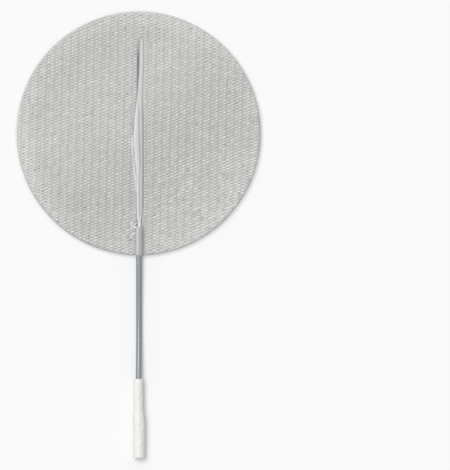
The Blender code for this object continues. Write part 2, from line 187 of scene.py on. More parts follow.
# The groove on the left of the ribbon's far half, in mm: Y, share of its full depth, width
FAR_GROOVE = [
    (29.8, 0.0, 0.60),
    (28.6, 0.25, 0.66),
    (26.5, 0.35, 0.72),
    (23.5, 0.87, 0.68),
    (20.0, 0.87, 0.62),
    (17.0, 0.8, 0.50),
    (14.0, 0.7, 0.36),
    (12.0, 0.5, 0.30),
    (10.0, 0.0, 0.25),
]

# Gaps in the knit beside the stripped end, in mm: X, Y, radius
DARK_SPOTS = [
    (-0.50, -28.3, 0.35),
    (-2.30, -33.0, 0.30),
]

# Tufts of broken filaments at the stripped end, in mm: X and Y of a filament's start, bend and
# end, its width, and the number of filaments
TUFTS = [
    ((-0.6, -29.2), (-1.1, -29.0), (-1.6, -28.8), 0.38, 12),
    ((-0.8, -30.8), (-1.4, -31.0), (-2.0, -31.1), 0.34, 12),
    ((-1.7, -31.3), (-2.2, -31.9), (-2.6, -32.5), 0.26, 8),
    ((-2.3, -28.3), (-2.2, -27.7), (-2.1, -27.2), 0.24, 6),
    ((-1.5, -30.3), (-1.8, -29.6), (-2.3, -29.0), 0.16, 4),
    ((-3.9, -26.3), (-4.1, -26.0), (-4.3, -25.8), 0.2, 4),
]
FLUFF_COUNT = 100
FIBRE_RINGS = 12

# The sleeve's outline seen from above, in mm: distance from its tail, middle X, half width
SLEEVE_OUTLINE = [
    (-0.2, -0.04, 1.28),
    (0.05, -0.04, 1.46),
    (0.5, -0.04, 1.52),
    (5.4, -0.06, 1.54),
    (8.2, -0.07, 1.56),
    (9.8, 0.00, 1.66),
    (10.9, 0.08, 1.80),
    (12.1, 0.12, 1.88),
    (14.9, 0.12, 1.86),
    (17.8, 0.17, 1.79),
    (19.0, 0.18, 1.79),
    (21.5, 0.15, 1.84),
    (23.5, 0.11, 1.90),
    (23.9, 0.11, 1.89),
    (24.1, 0.11, 1.79),
]

# Dimples in the sleeve: distance from its tail in mm, and turn up from its right side in degrees
SLEEVE_DIMPLES = [
    (5.9, 60.0),
    (14.4, 65.0),
]

# The sleeve's bore, from its mouth back to its tail, in mm: distance from the tail, middle X,
# radius
SLEEVE_BORE = [
    (24.1, 0.10, 1.58),
    (23.7, 0.10, 1.52),
    (13.6, 0.10, 1.54),
    (11.6, 0.06, 1.50),
    (11.0, 0.00, 1.25),
    (6.5, 0.00, 1.15),
    (5.6, 0.00, 1.02),
    (0.1, 0.00, 0.97),
    (-0.2, 0.00, 0.99),
]

rng = np.random.default_rng(11)


# Node and mesh helpers

def node(tree, kind, inputs=None, **settings):
    """A shader node with its settings made, and its inputs set or linked."""
    made = tree.nodes.new(kind)
    for name, value in settings.items():
        setattr(made, name, value)
    for name, value in (inputs or {}).items():
        if isinstance(value, bpy.types.NodeSocket):
            tree.links.new(value, made.inputs[name])
        else:
            made.inputs[name].default_value = value
    return made


def new_material(name, **constants):
    """A material with one Principled shader, whose constant sockets are set."""
    material = bpy.data.materials.new(name)
    material.use_nodes = True
    tree = material.node_tree
    shader = tree.nodes["Principled BSDF"]
    for socket, value in constants.items():
        shader.inputs[socket.replace("_", " ")].default_value = value
    return material, tree, shader


def blended(tree, share, low, high):
    """A colour between two, by a share."""
    ramp = node(tree, "ShaderNodeMixRGB", {
        "Fac": share, "Color1": (*low, 1.0), "Color2": (*high, 1.0),
    })
    return ramp.outputs["Color"]


def mesh_object(name, points, faces, material):
    mesh = bpy.data.meshes.new(name)
    mesh.from_pydata(points, [], faces)
    mesh.materials.append(material)
    mesh.shade_smooth()
    obj = bpy.data.objects.new(name, mesh)
    bpy.context.scene.collection.objects.link(obj)
    return obj


def set_values(obj, name, values, kind="FLOAT", field="value"):
    attribute = obj.data.attributes.new(name, kind, "POINT")
    attribute.data.foreach_set(field, np.asarray(values, np.float32).ravel())


def smooth_step(share):
    share = np.clip(share, 0.0, 1.0)
    return share * share * (3 - 2 * share)


def mixed(low, high, share):
    return low + (high - low) * share


def begun(y, begin, run):
    """0 up to begin and 1 from run further on, going towards the lead."""
    return smooth_step((begin - y) / run)


def inside_band(x, low, high, soft):
    """1 between low and high, 0 outside them, with soft edges."""
    return smooth_step((x - low) / soft + 0.5) * smooth_step((high - x) / soft + 0.5)


def bell(off, width):
    """1 where off is 0, falling to about a third where it is the width."""
    return np.exp(-((off / width) ** 2))


def turns_round(count):
    """Even turns once round, in radians."""
    return 2 * math.pi * np.arange(count) / count


def crossings(across, along):
    """The places where the lines of a grid cross."""
    return np.array(np.meshgrid(across, along)).reshape(2, -1).T


def wander(x, y, size, seed):
    """Smooth noise over the plane, about -1 to 1, with waves about size long."""
    waves = np.random.default_rng(seed)
    total = 0.0
    for _ in range(7):
        turn, phase = waves.uniform(0, 2 * math.pi, 2)
        number = 2 * math.pi * waves.uniform(0.6, 1.4) / size
        total = total + np.sin(number * (x * math.cos(turn) + y * math.sin(turn)) + phase)
    return total / 3.5


def smooth_route(places, spacing):
    """Points about spacing apart on a smooth curve through the given places."""
    places = [Vector(place) for place in places]
    ends = [2 * places[0] - places[1], *places, 2 * places[-1] - places[-2]]
    points = [places[0]]
    for before, start, stop, after in zip(ends, ends[1:], ends[2:], ends[3:]):
        steps = max(1, round((stop - start).length / spacing))
        for step in range(1, steps + 1):
            share = step / steps
            points.append(0.5 * (
                2 * start
                + (stop - before) * share
                + (2 * before - 5 * start + 4 * stop - after) * share ** 2
                + (3 * start - before - 3 * stop + after) * share ** 3
            ))
    return np.array(points)


def grid_faces(index, wrap_rings=False):
    """Quads between rings of points. index is tubes by rings by facets."""
    after = np.roll(index, -1, axis=2)
    following = np.roll(index, -1, axis=1)
    after_following = np.roll(after, -1, axis=1)
    quads = np.stack([index, after, after_following, following], axis=-1)
    if not wrap_rings:
        quads = quads[:, :-1]
    return quads.reshape(-1, 4)


def swept(name, centres, sides, ups, facets, material, tones=0.5):
    """Closed tubes, one for each row of centres. The section at a centre is the ellipse that
    sides and ups span there, and sides cross ups along the tube."""
    tubes, rings, _ = centres.shape
    turn = turns_round(facets) - math.pi / 2
    points = (
        centres[:, :, None]
        + np.cos(turn)[None, None, :, None] * sides[:, :, None]
        + np.sin(turn)[None, None, :, None] * ups[:, :, None]
    )
    index = np.arange(tubes * rings * facets).reshape(tubes, rings, facets)
    faces = grid_faces(index).tolist() + index[:, 0, ::-1].tolist() + index[:, -1].tolist()
    obj = mesh_object(name, points.reshape(-1, 3), faces, material)
    steps = np.linalg.norm(np.diff(centres, axis=1), axis=2)
    along = np.concatenate([np.zeros((tubes, 1)), np.cumsum(steps, axis=1)], axis=1) / MM
    yarn = np.empty((tubes, rings, facets, 3))
    yarn[..., 0] = along[:, :, None]
    yarn[..., 1] = np.linspace(0.0, 1.0, facets, endpoint=False)
    yarn[..., 2] = rng.uniform(0, 100, tubes)[:, None, None]
    set_values(obj, "yarn", yarn, "FLOAT_VECTOR", "vector")
    set_values(obj, "tone", np.repeat(np.broadcast_to(tones, tubes), rings * facets))
    return obj


def swept_routes(name, routes, radii, facets, material, tones=0.5, flatness=1.0):
    """Closed round tubes along routes, tubes by points by 3, with radii of tubes by points."""
    along = np.gradient(routes, axis=1)
    along /= np.linalg.norm(along, axis=2, keepdims=True)
    sides = np.cross(np.array([0.0, 0.0, 1.0]), along)
    sides /= np.linalg.norm(sides, axis=2, keepdims=True)
    ups = np.cross(along, sides)
    radii = radii[..., None]
    return swept(name, routes, sides * radii, ups * radii * flatness, facets, material, tones)


def lofted(name, rings, material, wrap=False):
    """A closed skin through rings of points, with flat ends unless the rings wrap round."""
    count, facets, _ = rings.shape
    index = np.arange(count * facets).reshape(1, count, facets)
    faces = grid_faces(index, wrap).tolist()
    if not wrap:
        faces += [index[0, 0, ::-1].tolist(), index[0, -1].tolist()]
    return mesh_object(name, rings.reshape(-1, 3), faces, material)


def place(obj, slot, *nodes):
    """The piece rides on the part's only body and replaces nodes. Its slot is not used."""
    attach(obj, "root")
    if nodes:
        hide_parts(*nodes)
    return obj


# Materials

def point_value(tree, name, output="Fac"):
    """What the piece's points carry under a name."""
    return node(tree, "ShaderNodeAttribute", attribute_name=name).outputs[output]


def noise(tree, detail, scale=1.0, stretch=None, roughness=0.5, space=None):
    """Noise over the piece's own space or another one, whose axes may be stretched first."""
    if space is None:
        space = node(tree, "ShaderNodeTexCoord").outputs["Object"]
    if stretch is not None:
        mapping = node(tree, "ShaderNodeMapping", {"Vector": space, "Scale": stretch})
        space = mapping.outputs["Vector"]
    made = node(tree, "ShaderNodeTexNoise", {
        "Vector": space, "Scale": scale, "Detail": detail, "Roughness": roughness,
    })
    return made.outputs["Fac"]


def toned(tree, pattern, swing):
    """The tone of the piece's points, moved by a pattern, up or down by half a swing at most."""
    spread = node(tree, "ShaderNodeMath", {
        0: pattern, 1: swing, 2: -swing / 2,
    }, operation="MULTIPLY_ADD")
    share = node(tree, "ShaderNodeMath", {
        0: point_value(tree, "tone"), 1: spread.outputs[0],
    }, operation="ADD", use_clamp=True)
    return share.outputs[0]


def set_surface(tree, shader, pattern, bump, roughness=None, colour=None):
    """A pattern's bumps, with their strength and depth, its roughness between two values, and
    the colour made from it."""
    if colour is not None:
        tree.links.new(colour, shader.inputs["Base Color"])
    if roughness is not None:
        rough = node(tree, "ShaderNodeMapRange", {
            "Value": pattern, "To Min": roughness[0], "To Max": roughness[1],
        })
        tree.links.new(rough.outputs["Result"], shader.inputs["Roughness"])
    bumps = node(tree, "ShaderNodeBump", {
        "Height": pattern, "Strength": bump[0], "Distance": bump[1],
    })
    tree.links.new(bumps.outputs["Normal"], shader.inputs["Normal"])


def yarn_material(name, dark, light, roughness, metallic):
    """Fine metallised yarn: filaments along the yarn, and a tone for each run of it."""
    material, tree, shader = new_material(name, Metallic=metallic, Sheen_Weight=0.15)
    yarn = point_value(tree, "yarn", "Vector")
    fibres = noise(tree, 3.0, 2.0, stretch=(0.9, 9.0, 1.0), roughness=0.6, space=yarn)
    share = toned(tree, fibres, 0.5)
    set_surface(
        tree, shader, fibres, bump=(0.5, 0.03 * MM),
        roughness=(roughness - 0.1, roughness + 0.1), colour=blended(tree, share, dark, light),
    )
    return material


def cloth_material():
    """The ground of the knit, between its raised yarns: fine and fibrous, painted darker than them
    as shade between them, and painted darkest in the grooves beside the conductor, as shade there."""
    material, tree, shader = new_material("knit_ground", Roughness=0.8)
    fibres = noise(tree, 3.0, stretch=(4000.0, 1200.0, 2500.0))
    share = toned(tree, fibres, 0.3)
    colour = blended(tree, share, (0.06, 0.06, 0.058), (0.79, 0.787, 0.77))
    set_surface(tree, shader, fibres, bump=(0.6, 0.05 * MM), colour=colour)
    return material


def conductor_material():
    """Fine bare filaments laid together: streaks along Y, with painted light on the lobes and
    painted shade in the grey valleys.
    """
    material, tree, shader = new_material("bare_conductor", Metallic=0.1)
    streaks = noise(tree, 4.0, stretch=(9000.0, 260.0, 3000.0), roughness=0.55)
    share = toned(tree, streaks, 0.6)
    colour = blended(tree, share, (0.30, 0.305, 0.305), (0.84, 0.845, 0.835))
    set_surface(
        tree, shader, streaks, bump=(0.5, 0.04 * MM), roughness=(0.38, 0.55), colour=colour,
    )
    return material


def gel_material():
    """Clear tacky gel with a wet gloss, milky where it is drawn over the lead and at its rim,
    and milkier as painted light on the welt's left flank and on the rim's lit side.
    """
    material, tree, shader = new_material(
        "hydrogel", Base_Color=(0.88, 0.885, 0.875, 1.0), IOR=1.36,
    )
    tree.links.new(point_value(tree, "haze_and_light"), shader.inputs["Alpha"])
    ripples = noise(tree, 2.0, 260.0)
    set_surface(tree, shader, ripples, bump=(0.15, 0.1 * MM), roughness=(0.1, 0.22))
    return material


def jacket_material():
    """Blue-grey flexible plastic with a soft gloss and faint drawing marks along it."""
    material, tree, shader = new_material("lead_jacket", Specular_IOR_Level=0.85)
    marks = noise(tree, 3.0, stretch=(3000.0, 120.0, 3000.0))
    colour = blended(tree, marks, (0.21, 0.236, 0.258), (0.272, 0.298, 0.32))
    set_surface(tree, shader, marks, bump=(0.12, 0.05 * MM), roughness=(0.16, 0.26), colour=colour)
    return material


def sleeve_material():
    """White shrunk tube: a warm white with a faint mottle, half matte, with painted shade that
    makes it darker and yellower on its right.
    """
    material, tree, shader = new_material("white_sleeve", Specular_IOR_Level=0.45)
    mottle = noise(tree, 4.0, 420.0)
    share = node(tree, "ShaderNodeMath", {
        0: mottle, 1: 0.5, 2: point_value(tree, "tone"),
    }, operation="MULTIPLY_ADD", use_clamp=True)
    colour = blended(tree, share.outputs[0], (0.80, 0.81, 0.735), (0.85, 0.855, 0.83))
    set_surface(tree, shader, mottle, bump=(0.2, 0.12 * MM), roughness=(0.34, 0.52), colour=colour)
    return material


def metal_material(name, dark, light, roughness):
    """Turned or drawn metal with fine marks round its axis."""
    material, tree, shader = new_material(name, Metallic=1.0)
    marks = noise(tree, 3.0, stretch=(300.0, 9000.0, 300.0))
    set_surface(
        tree, shader, marks, bump=(0.2, 0.02 * MM),
        roughness=(roughness - 0.08, roughness + 0.08), colour=blended(tree, marks, dark, light),
    )
    return material


# Camera, light and floor

def make_camera():
    """Straight down on the pad, framed as the photograph is."""
    pixel = PAD_RADIUS / PAD_RADIUS_PX
    data = bpy.data.cameras.new("camera")
    data.sensor_width = SENSOR
    data.lens = SENSOR * (CAMERA_DISTANCE - PAD_FACE) / (IMAGE_HEIGHT * pixel)
    data.clip_start = 0.01
    camera = bpy.data.objects.new("camera", data)
    bpy.context.scene.collection.objects.link(camera)
    camera.location = (
        (IMAGE_WIDTH / 2 - PAD_CENTRE_PX[0]) * pixel,
        (PAD_CENTRE_PX[1] - IMAGE_HEIGHT / 2) * pixel,
        CAMERA_DISTANCE,
    )
    bpy.context.scene.camera = camera


def seen_ray(tree):
    """1 for a ray that the camera sees, directly, mirrored or through something, and 0 for one
    that only brings light."""
    path = node(tree, "ShaderNodeLightPath")
    seen = path.outputs["Is Camera Ray"]
    for kind in ("Is Glossy Ray", "Is Transmission Ray"):
        either = node(tree, "ShaderNodeMath", {
            0: seen, 1: path.outputs[kind],
        }, operation="MAXIMUM")
        seen = either.outputs[0]
    return seen


def make_light():
    """An even white sky, and a wide soft sun from the upper left."""
    world = bpy.data.worlds.new("studio")
    bpy.context.scene.world = world
    world.use_nodes = True
    tree = world.node_tree
    tree.nodes.clear()
    sky = node(tree, "ShaderNodeBackground", {"Color": WHITE, "Strength": SKY_SHARE})
    seen = node(tree, "ShaderNodeBackground", {"Color": WHITE, "Strength": SKY_SEEN})
    mix = node(tree, "ShaderNodeMixShader", {
        "Fac": seen_ray(tree), 1: sky.outputs[0], 2: seen.outputs[0],
    })
    node(tree, "ShaderNodeOutputWorld", {"Surface": mix.outputs[0]})
    data = bpy.data.lights.new("sun", "SUN")
    azimuth, elevation = math.radians(SUN_AZIMUTH), math.radians(SUN_ELEVATION)
    data.energy = SUN_SHARE * math.pi / math.sin(elevation)
    data.angle = math.radians(SUN_ANGLE)
    sun = bpy.data.objects.new("sun", data)
    bpy.context.scene.collection.objects.link(sun)
    towards = Vector((
        math.cos(azimuth) * math.cos(elevation),
        math.sin(azimuth) * math.cos(elevation),
        math.sin(elevation),
    ))
    sun.rotation_mode = "QUATERNION"
    sun.rotation_quaternion = towards.to_track_quat("Z", "Y")


def make_floor():
    """A level white floor, brighter to the camera than to the light that it sends back."""
    half = FLOOR_SIZE / 2
    corners = [(-half, -half, 0), (half, -half, 0), (half, half, 0), (-half, half, 0)]
    material, tree, shader = new_material(
        "floor", Roughness=1.0, Specular_IOR_Level=0.0, Emission_Color=WHITE,
    )
    seen = seen_ray(tree)
    colour = blended(tree, seen, (FLOOR_BOUNCE,) * 3, (FLOOR_SEEN - FLOOR_GLOW,) * 3)
    tree.links.new(colour, shader.inputs["Base Color"])
    glow = node(tree, "ShaderNodeMath", {0: seen, 1: FLOOR_GLOW}, operation="MULTIPLY")
    tree.links.new(glow.outputs[0], shader.inputs["Emission Strength"])
    floor = mesh_object("floor", corners, [(0, 1, 2, 3)], material)


# Knit backing

def ribbon_lines(y):
    """X of the ribbon's left edge, of the valley between its lobes, and of its right edge."""
    at, *lines = (np.array(RIBBON_ROWS)[::-1] * MM).T
    return [np.interp(y, at, line) for line in lines]


def far_groove(y):
    """Depth share and width of the groove on the left of the ribbon's far half."""
    at, depths, widths = np.array(FAR_GROOVE)[::-1].T
    return np.interp(y, at * MM, depths), np.interp(y, at * MM, widths) * MM


def grooves(x, y):
    """How much of a groove there is at a place: one runs left of the ribbon's far half, one
    right of its near half, and one on each side of the jacket. The cloth is sunk there and at
    the dark spots, and painted dark there as shade."""
    left, _, right = ribbon_lines(y)
    depth, width = far_groove(y)
    beside_far = depth * inside_band(x, left - width, left + 0.1 * MM, 0.3 * MM)
    near = inside_band(y, -24.0 * MM, 7.5 * MM, 5 * MM)
    beside_near = near * inside_band(x, right, right + 0.5 * MM, 0.25 * MM)
    by_jacket = begun(y, -28.0 * MM, 1.5 * MM)
    from_jacket = np.abs(x - JACKET_X) - JACKET_RADIUS
    beside_jacket = by_jacket * inside_band(from_jacket, -0.2 * MM, 0.55 * MM, 0.3 * MM)
    groove = np.maximum(np.maximum(beside_far, 0.5 * beside_near), 0.12 * beside_jacket)
    for spot_x, spot_y, radius in DARK_SPOTS:
        off = np.hypot(x - spot_x * MM, y - spot_y * MM) / (radius * MM)
        groove = np.maximum(groove, 0.9 * smooth_step(1.5 - off))
    return groove


def rim_radius(x, y):
    """Radius of the pad's cut edge towards a place: the real disc reaches a little past the
    source's round one, but not at its far end."""
    far = smooth_step(2.5 * np.sin(np.arctan2(y, x)) - 1.3)
    return PAD_RADIUS + RIM_GROWTH * (1 - far)


def rim_roll(x, y):
    """0 inside the cloth's rolled rim, and 1 at its cut edge."""
    return np.clip((np.hypot(x, y) - rim_radius(x, y) + RIM_ROLL) / RIM_ROLL, 0, 1)


def cloth_top(x, y):
    """Height of the cloth's skin side, with the channel, the jacket's bed and the grooves."""
    left, _, right = ribbon_lines(y)
    along = inside_band(y, -PAD_RADIUS - MM, CHANNEL_TOP_END, 0.6 * MM)
    height = CLOTH_TOP + 0.03 * MM * wander(x, y, 9 * MM, 3)
    channel = along * inside_band(x, left - 0.1 * MM, right - 0.05 * MM, 0.3 * MM)
    height = mixed(height, CHANNEL_FLOOR, channel)
    bed = begun(y, -28.4 * MM, 1.5 * MM) * inside_band(
        x, JACKET_X - BED_HALF_WIDTH, JACKET_X + BED_HALF_WIDTH, 0.5 * MM
    )
    height = mixed(height, CHANNEL_FLOOR, bed)
    height = mixed(height, GROOVE_FLOOR, grooves(x, y))
    roll = rim_roll(x, y)
    return height - 0.05 * MM * roll * roll


def cloth_bottom(x, y):
    roll = rim_roll(x, y)
    return CLOTH_BOTTOM + 0.04 * MM * roll * roll


def wale_pairing(x, y):
    """1 on the middle of a pair of wales and 0 in the valley between two pairs."""
    straight = x - WALE_LEAN * y
    left_wave, right_wave = (
        np.cos(math.pi * (straight - (side.first_x + side.step / 2)) / side.step)
        for side in SKIN_SIDES
    )
    return 0.5 + 0.5 * np.where(x < 0.5 * MM, left_wave, right_wave)


def circle(radius, count):
    turn = turns_round(count)
    return np.column_stack([radius * np.cos(turn), radius * np.sin(turn)])


def rim_ring(inset, count):
    """A ring of points at a distance inside the pad's cut edge."""
    ring = circle(1.0, count)
    return ring * (rim_radius(*ring.T) - inset)[:, None]


def triangulated(points, loops):
    """Triangles over flat points, in mm, with the loops of point indices kept as edges. A
    triangle with all its corners on one loop but the first is left out, as a hole."""
    edges = [(loop[step - 1], loop[step]) for loop in loops for step in range(len(loop))]
    vectors = [Vector(point) for point in points / MM]
    flat, _, faces, origins, _, _ = delaunay_2d_cdt(vectors, edges, [], 0, 1e-6)
    hole = np.full(len(points), -1)
    for number, loop in enumerate(loops[1:]):
        hole[loop] = number
    hole_of = np.array([hole[origin[0]] if origin else -1 for origin in origins])
    faces = np.array(faces)
    holes = hole_of[faces]
    in_hole = (holes[:, 0] >= 0) & (holes == holes[:, :1]).all(axis=1)
    return np.array([tuple(point) for point in flat]) * MM, faces[~in_hole]


def slab(name, flat, triangles, top, bottom, material):
    """A closed solid between two heights over a flat triangle mesh."""
    x, y = flat[:, 0], flat[:, 1]
    count = len(flat)
    points = np.concatenate([
        np.column_stack([x, y, top(x, y)]), np.column_stack([x, y, bottom(x, y)]),
    ])
    a, b, c = flat[triangles.T]
    clockwise = np.cross(b - a, c - a) < 0
    triangles[clockwise] = triangles[clockwise][:, ::-1]
    directed = np.concatenate([triangles[:, [0, 1]], triangles[:, [1, 2]], triangles[:, [2, 0]]])
    known = {tuple(edge) for edge in directed.tolist()}
    walls = [
        (end, start, start + count, end + count)
        for start, end in known
        if (end, start) not in known
    ]
    walls.sort()
    faces = triangles.tolist() + (triangles[:, ::-1] + count).tolist() + walls
    return mesh_object(name, points, faces, material)


def eyelets():
    """Middles of the eyelets, which stand in two columns along the channel."""
    rows = 1 + int((EYELET_END - EYELET_START) / COURSE_PITCH)
    return np.array([
        (x, EYELET_START + row * COURSE_PITCH) for row in range(rows) for x in EYELET_X
    ])


def make_cloth(material):
    """The knit's ground: a die-cut disc with a sunk channel and two columns of eyelets."""
    steps = np.arange(-PAD_RADIUS, PAD_RADIUS, CLOTH_GRID)
    grid = crossings(steps, steps)
    fine = crossings(
        np.arange(FINE_LEFT, FINE_RIGHT, FINE_GRID[0]),
        np.arange(-PAD_RADIUS, FINE_END, FINE_GRID[1]),
    )
    beside_fine = (grid[:, 0] < FINE_LEFT - 0.1 * MM) | (grid[:, 0] > FINE_RIGHT)
    coarse = grid[beside_fine | (grid[:, 1] > FINE_END + 0.2 * MM)]
    inner = np.concatenate([coarse, fine])
    inner = inner[np.hypot(*inner.T) < PAD_RADIUS - 0.85 * MM]
    holes = eyelets()
    gaps = np.hypot(*(inner[:, None] - holes[None]).transpose(2, 0, 1)).min(axis=1)
    inner = inner[gaps > EYELET_RADIUS * 1.35]
    points = [rim_ring(0.03 * MM, RIM_POINTS)]
    loops = [np.arange(RIM_POINTS)]
    total = RIM_POINTS
    for hole in holes:
        points.append(circle(EYELET_RADIUS, EYELET_POINTS) + hole)
        loops.append(np.arange(total, total + EYELET_POINTS))
        total += EYELET_POINTS
    for inset, count in CLOTH_RINGS:
        points.append(rim_ring(inset * MM, count))
    points.append(inner)
    flat, triangles = triangulated(np.concatenate(points), loops)
    cloth = slab("knit_cloth", flat, triangles, cloth_top, cloth_bottom, material)
    x, y = flat[:, 0], flat[:, 1]
    # Painted light and shade: darker in the valleys between pairs of wales, paler near the rim on
    # the lit side, darker at the cut edge on the shaded side, and darkest in the grooves.
    tone = 0.62 + 0.12 * (wale_pairing(x, y) - 0.5)
    tone = tone + 0.12 * painted_rim_light(x, y) - 0.3 * rim_shade(x, y)
    tone = tone + 0.05 * slow_tone(x, y)
    tone = mixed(tone, 0.08, grooves(x, y))
    set_values(cloth, "tone", np.concatenate([tone, np.full(len(flat), 0.75)]))
    return place(cloth, "conductive_knit", "knit_backing")


def dashes(
    name, x, y, z, length, angle, bend, width, thick, arch, tone, material, parts=(6, 6),
):
    """Short runs of yarn that rise out of the cloth, bend like an S and dive back into it. parts
    is the number of rings along each and of facets round it. The values up to width are one for
    each run or one for all."""
    rings, facets = parts
    x, y, z, length, turn, bend, width = (
        values[:, None] for values in np.broadcast_arrays(x, y, z, length, angle, bend, width)
    )
    t = np.linspace(-1, 1, rings)[None]
    reach = length / 2 * t
    swing = bend * np.sin(math.pi * t)
    slope = bend * math.pi * np.cos(math.pi * t) / (length / 2)
    centres = np.stack([
        x + reach * np.cos(turn) - swing * np.sin(turn),
        y + reach * np.sin(turn) + swing * np.cos(turn),
        z + arch * (np.cos(math.pi / 2 * t) ** 0.7 - 1),
    ], axis=-1)
    heading = turn + np.arctan(slope)
    taper = 1 - 0.4 * t ** 4
    half = width / 2 * taper
    sides = np.stack([-np.sin(heading) * half, np.cos(heading) * half, 0 * half], axis=-1)
    ups = np.stack([0 * half, 0 * half, thick / 2 * taper + 0 * half], axis=-1)
    x, y = centres[..., 0], centres[..., 1]
    pull = np.minimum(1.0, (rim_radius(x, y) - 0.08 * MM - half) / np.hypot(x, y))
    centres[..., :2] *= pull[..., None]
    return swept(name, centres, sides, ups, facets, material, tone)


def lattice(first_x, step, count, phase, lean=0.0, rise=0.0):
    """Stitch places: columns a step apart from first_x on, each half a course off the last. The
    columns lean and the courses rise a little, so a few courses are spare at each end."""
    rows = int(2 * PAD_RADIUS / COURSE_PITCH) + 6
    column, row = np.meshgrid(np.arange(count), np.arange(rows), indexing="ij")
    x = first_x + step * column
    y = -PAD_RADIUS + (row - 2 + phase + 0.5 * (column % 2)) * COURSE_PITCH + rise * x
    return (x + lean * y).ravel(), y.ravel()


def lead_strip(y):
    """X of the two sides of the strip that the conductor, the jacket and the grooves take up.
    Past the conductor's far end there is none, and the sides change places."""
    left, _, right = ribbon_lines(y)
    depth, width = far_groove(y)
    low = left - np.where(depth > 0, width * smooth_step(2 * depth), 0.05 * MM)
    high = right + np.where(y > BEAD_TOP, 0.15 * MM, 0.65 * MM)
    beside_beads = (y > BEAD_BOTTOM - COURSE_PITCH / 2) & (y < BEAD_TOP + COURSE_PITCH / 2)
    high = np.where(beside_beads, BEAD_X + 0.3 * MM, high)
    covered = y < JACKET_END + 0.5 * MM
    low = np.where(covered, JACKET_X - 1.0 * MM, low)
    high = np.where(covered, JACKET_X + 1.45 * MM, high)
    past = y > CHANNEL_TOP_END
    return np.where(past, PAD_RADIUS, low), np.where(past, -PAD_RADIUS, high)


def slow_tone(x, y):
    """The cloth's slow change of tone, -1 to 1: palest at its upper left and lower right."""
    across = 0.6 * x - 0.8 * y
    return -np.cos(2 * math.pi * (across - TONE_WAVE_DARKEST) / TONE_WAVE)


def near_rim(x, y, width):
    """1 at the cloth's cut edge, falling to 0 at a width inside it."""
    return smooth_step((np.hypot(x, y) - rim_radius(x, y)) / width + 1)


def facing(x, y, degrees):
    """1 where a place lies in a direction from the pad's middle, -1 on the side opposite."""
    return np.cos(np.arctan2(y, x) - math.radians(degrees))


def painted_rim_light(x, y):
    """Painted light: how much paler the knit is made near the rim, most on the side of the gel's
    lip, which faces the light.
    """
    return near_rim(x, y, 7 * MM) * (0.25 + 0.75 * lip_share(x, y))


def rim_shade(x, y):
    """1 on the cloth's cut edge where the gel's edge stands between it and the light."""
    turned = smooth_step(0.5 + 0.9 * facing(x, y, RIM_SHADE_TOWARDS))
    return near_rim(x, y, 0.75 * MM) * turned


def cut_to_strip(x, y, reach, on_left):
    """The stitches' middles and reaches along X, with those that would cross the lead's strip
    cut short at it."""
    low, high = lead_strip(y)
    start, end = x - reach / 2, x + reach / 2
    if on_left:
        end = np.minimum(end, low)
    else:
        start = np.maximum(start, high)
    return (start + end) / 2, end - start


def drifted(x, y, jitter_x=0.0, jitter_y=0.0):
    """Stitch places moved as the wales and courses waver, and each by its own jitter."""
    x = x + 0.07 * MM * wander(x, y, 11 * MM, 6) + jitter_x
    y = y + 0.12 * MM * wander(x, y, 12 * MM, 7) + jitter_y
    return x, y


def make_skin_side(material):
    """Slanted runs of yarn in a staggered lattice, on the left and on the right of the lead. The
    lower right has longer and straighter ones."""
    made = []
    for side in SKIN_SIDES:
        x, y = lattice(side.first_x, side.step, side.columns, side.phase, WALE_LEAN, side.rise)
        on_pad = np.hypot(x, y) < PAD_RADIUS - 0.2 * MM
        x, y = x[on_pad], y[on_pad]
        corner = smooth_step((x - y) / (45 * MM) - 0.1)
        jitter_x = rng.normal(0, 0.03 * MM, len(x))
        jitter_y = rng.normal(0, 0.035 * MM, len(x))
        x, y = drifted(x, y, jitter_x, jitter_y)
        length = side.reach * (1 + 0.08 * rng.normal(size=len(x)) + 0.1 * corner)
        x, length = cut_to_strip(x, y, length, side.step < 0)
        keep = length > 0.45 * MM
        x, y, length, corner = (values[keep] for values in (x, y, length, corner))
        count = len(x)
        calm = wander(x, y, 14 * MM, 5)
        angle = np.radians(side.slant + 3 * calm + 4 * rng.normal(size=count))
        bend = 0.08 * MM * (1 + 0.4 * rng.normal(size=count)) * (1 - 0.5 * corner)
        width = 0.46 * MM * (1 + 0.1 * rng.normal(size=count))
        height = cloth_top(x, y) + 0.1 * MM + 0.03 * MM * rng.normal(size=count)
        tone = 0.58 + 0.15 * (1 + 0.4 * corner) * rng.normal(size=count)
        tone = tone + 0.05 * calm + 0.04 * corner + 0.05 * slow_tone(x, y)
        # Painted light and shade: paler near the rim on the lit side, darker at the shaded cut
        # edge.
        tone = tone + 0.3 * painted_rim_light(x, y) - 0.5 * rim_shade(x, y)
        obj = dashes(
            side.name, x, y, height, length, angle, bend, width, 0.28 * MM, 0.14 * MM,
            np.clip(tone, 0, 1), material,
        )
        made.append(place(obj, "conductive_knit"))
    return made


def make_gap_shade(material):
    """Painted shade in the openings between the stitches: small sunk runs of dark yarn half a
    course off them. A few stand open and are darker still, most of them near the rim."""
    made = []
    for side in SKIN_SIDES:
        phase = side.phase + 0.5
        x, y = lattice(side.first_x, side.step, side.columns, phase, WALE_LEAN, side.rise)
        x, y = drifted(x, y)
        low, high = lead_strip(y)
        clear = x < low - 0.3 * MM if side.step < 0 else x > high + 0.3 * MM
        keep = clear & (np.hypot(x, y) < PAD_RADIUS - 0.5 * MM)
        x, y = x[keep], y[keep]
        count = len(x)
        open_gap = rng.random(count) < 0.03 + 0.14 * painted_rim_light(x, y)
        obj = dashes(
            side.name.replace("yarns", "gaps"), x, y,
            cloth_top(x, y) + 0.03 * MM * open_gap,
            0.5 * MM * (1 + 0.15 * rng.normal(size=count)),
            np.radians(side.slant + 8 * rng.normal(size=count)),
            0.0, 0.26 * MM * (1 + 0.4 * open_gap), 0.06 * MM, 0.02 * MM,
            np.clip(0.4 + 0.2 * rng.normal(size=count) - 0.5 * open_gap, 0, 1), material, (4, 5),
        )
        made.append(place(obj, "conductive_knit"))
    return made


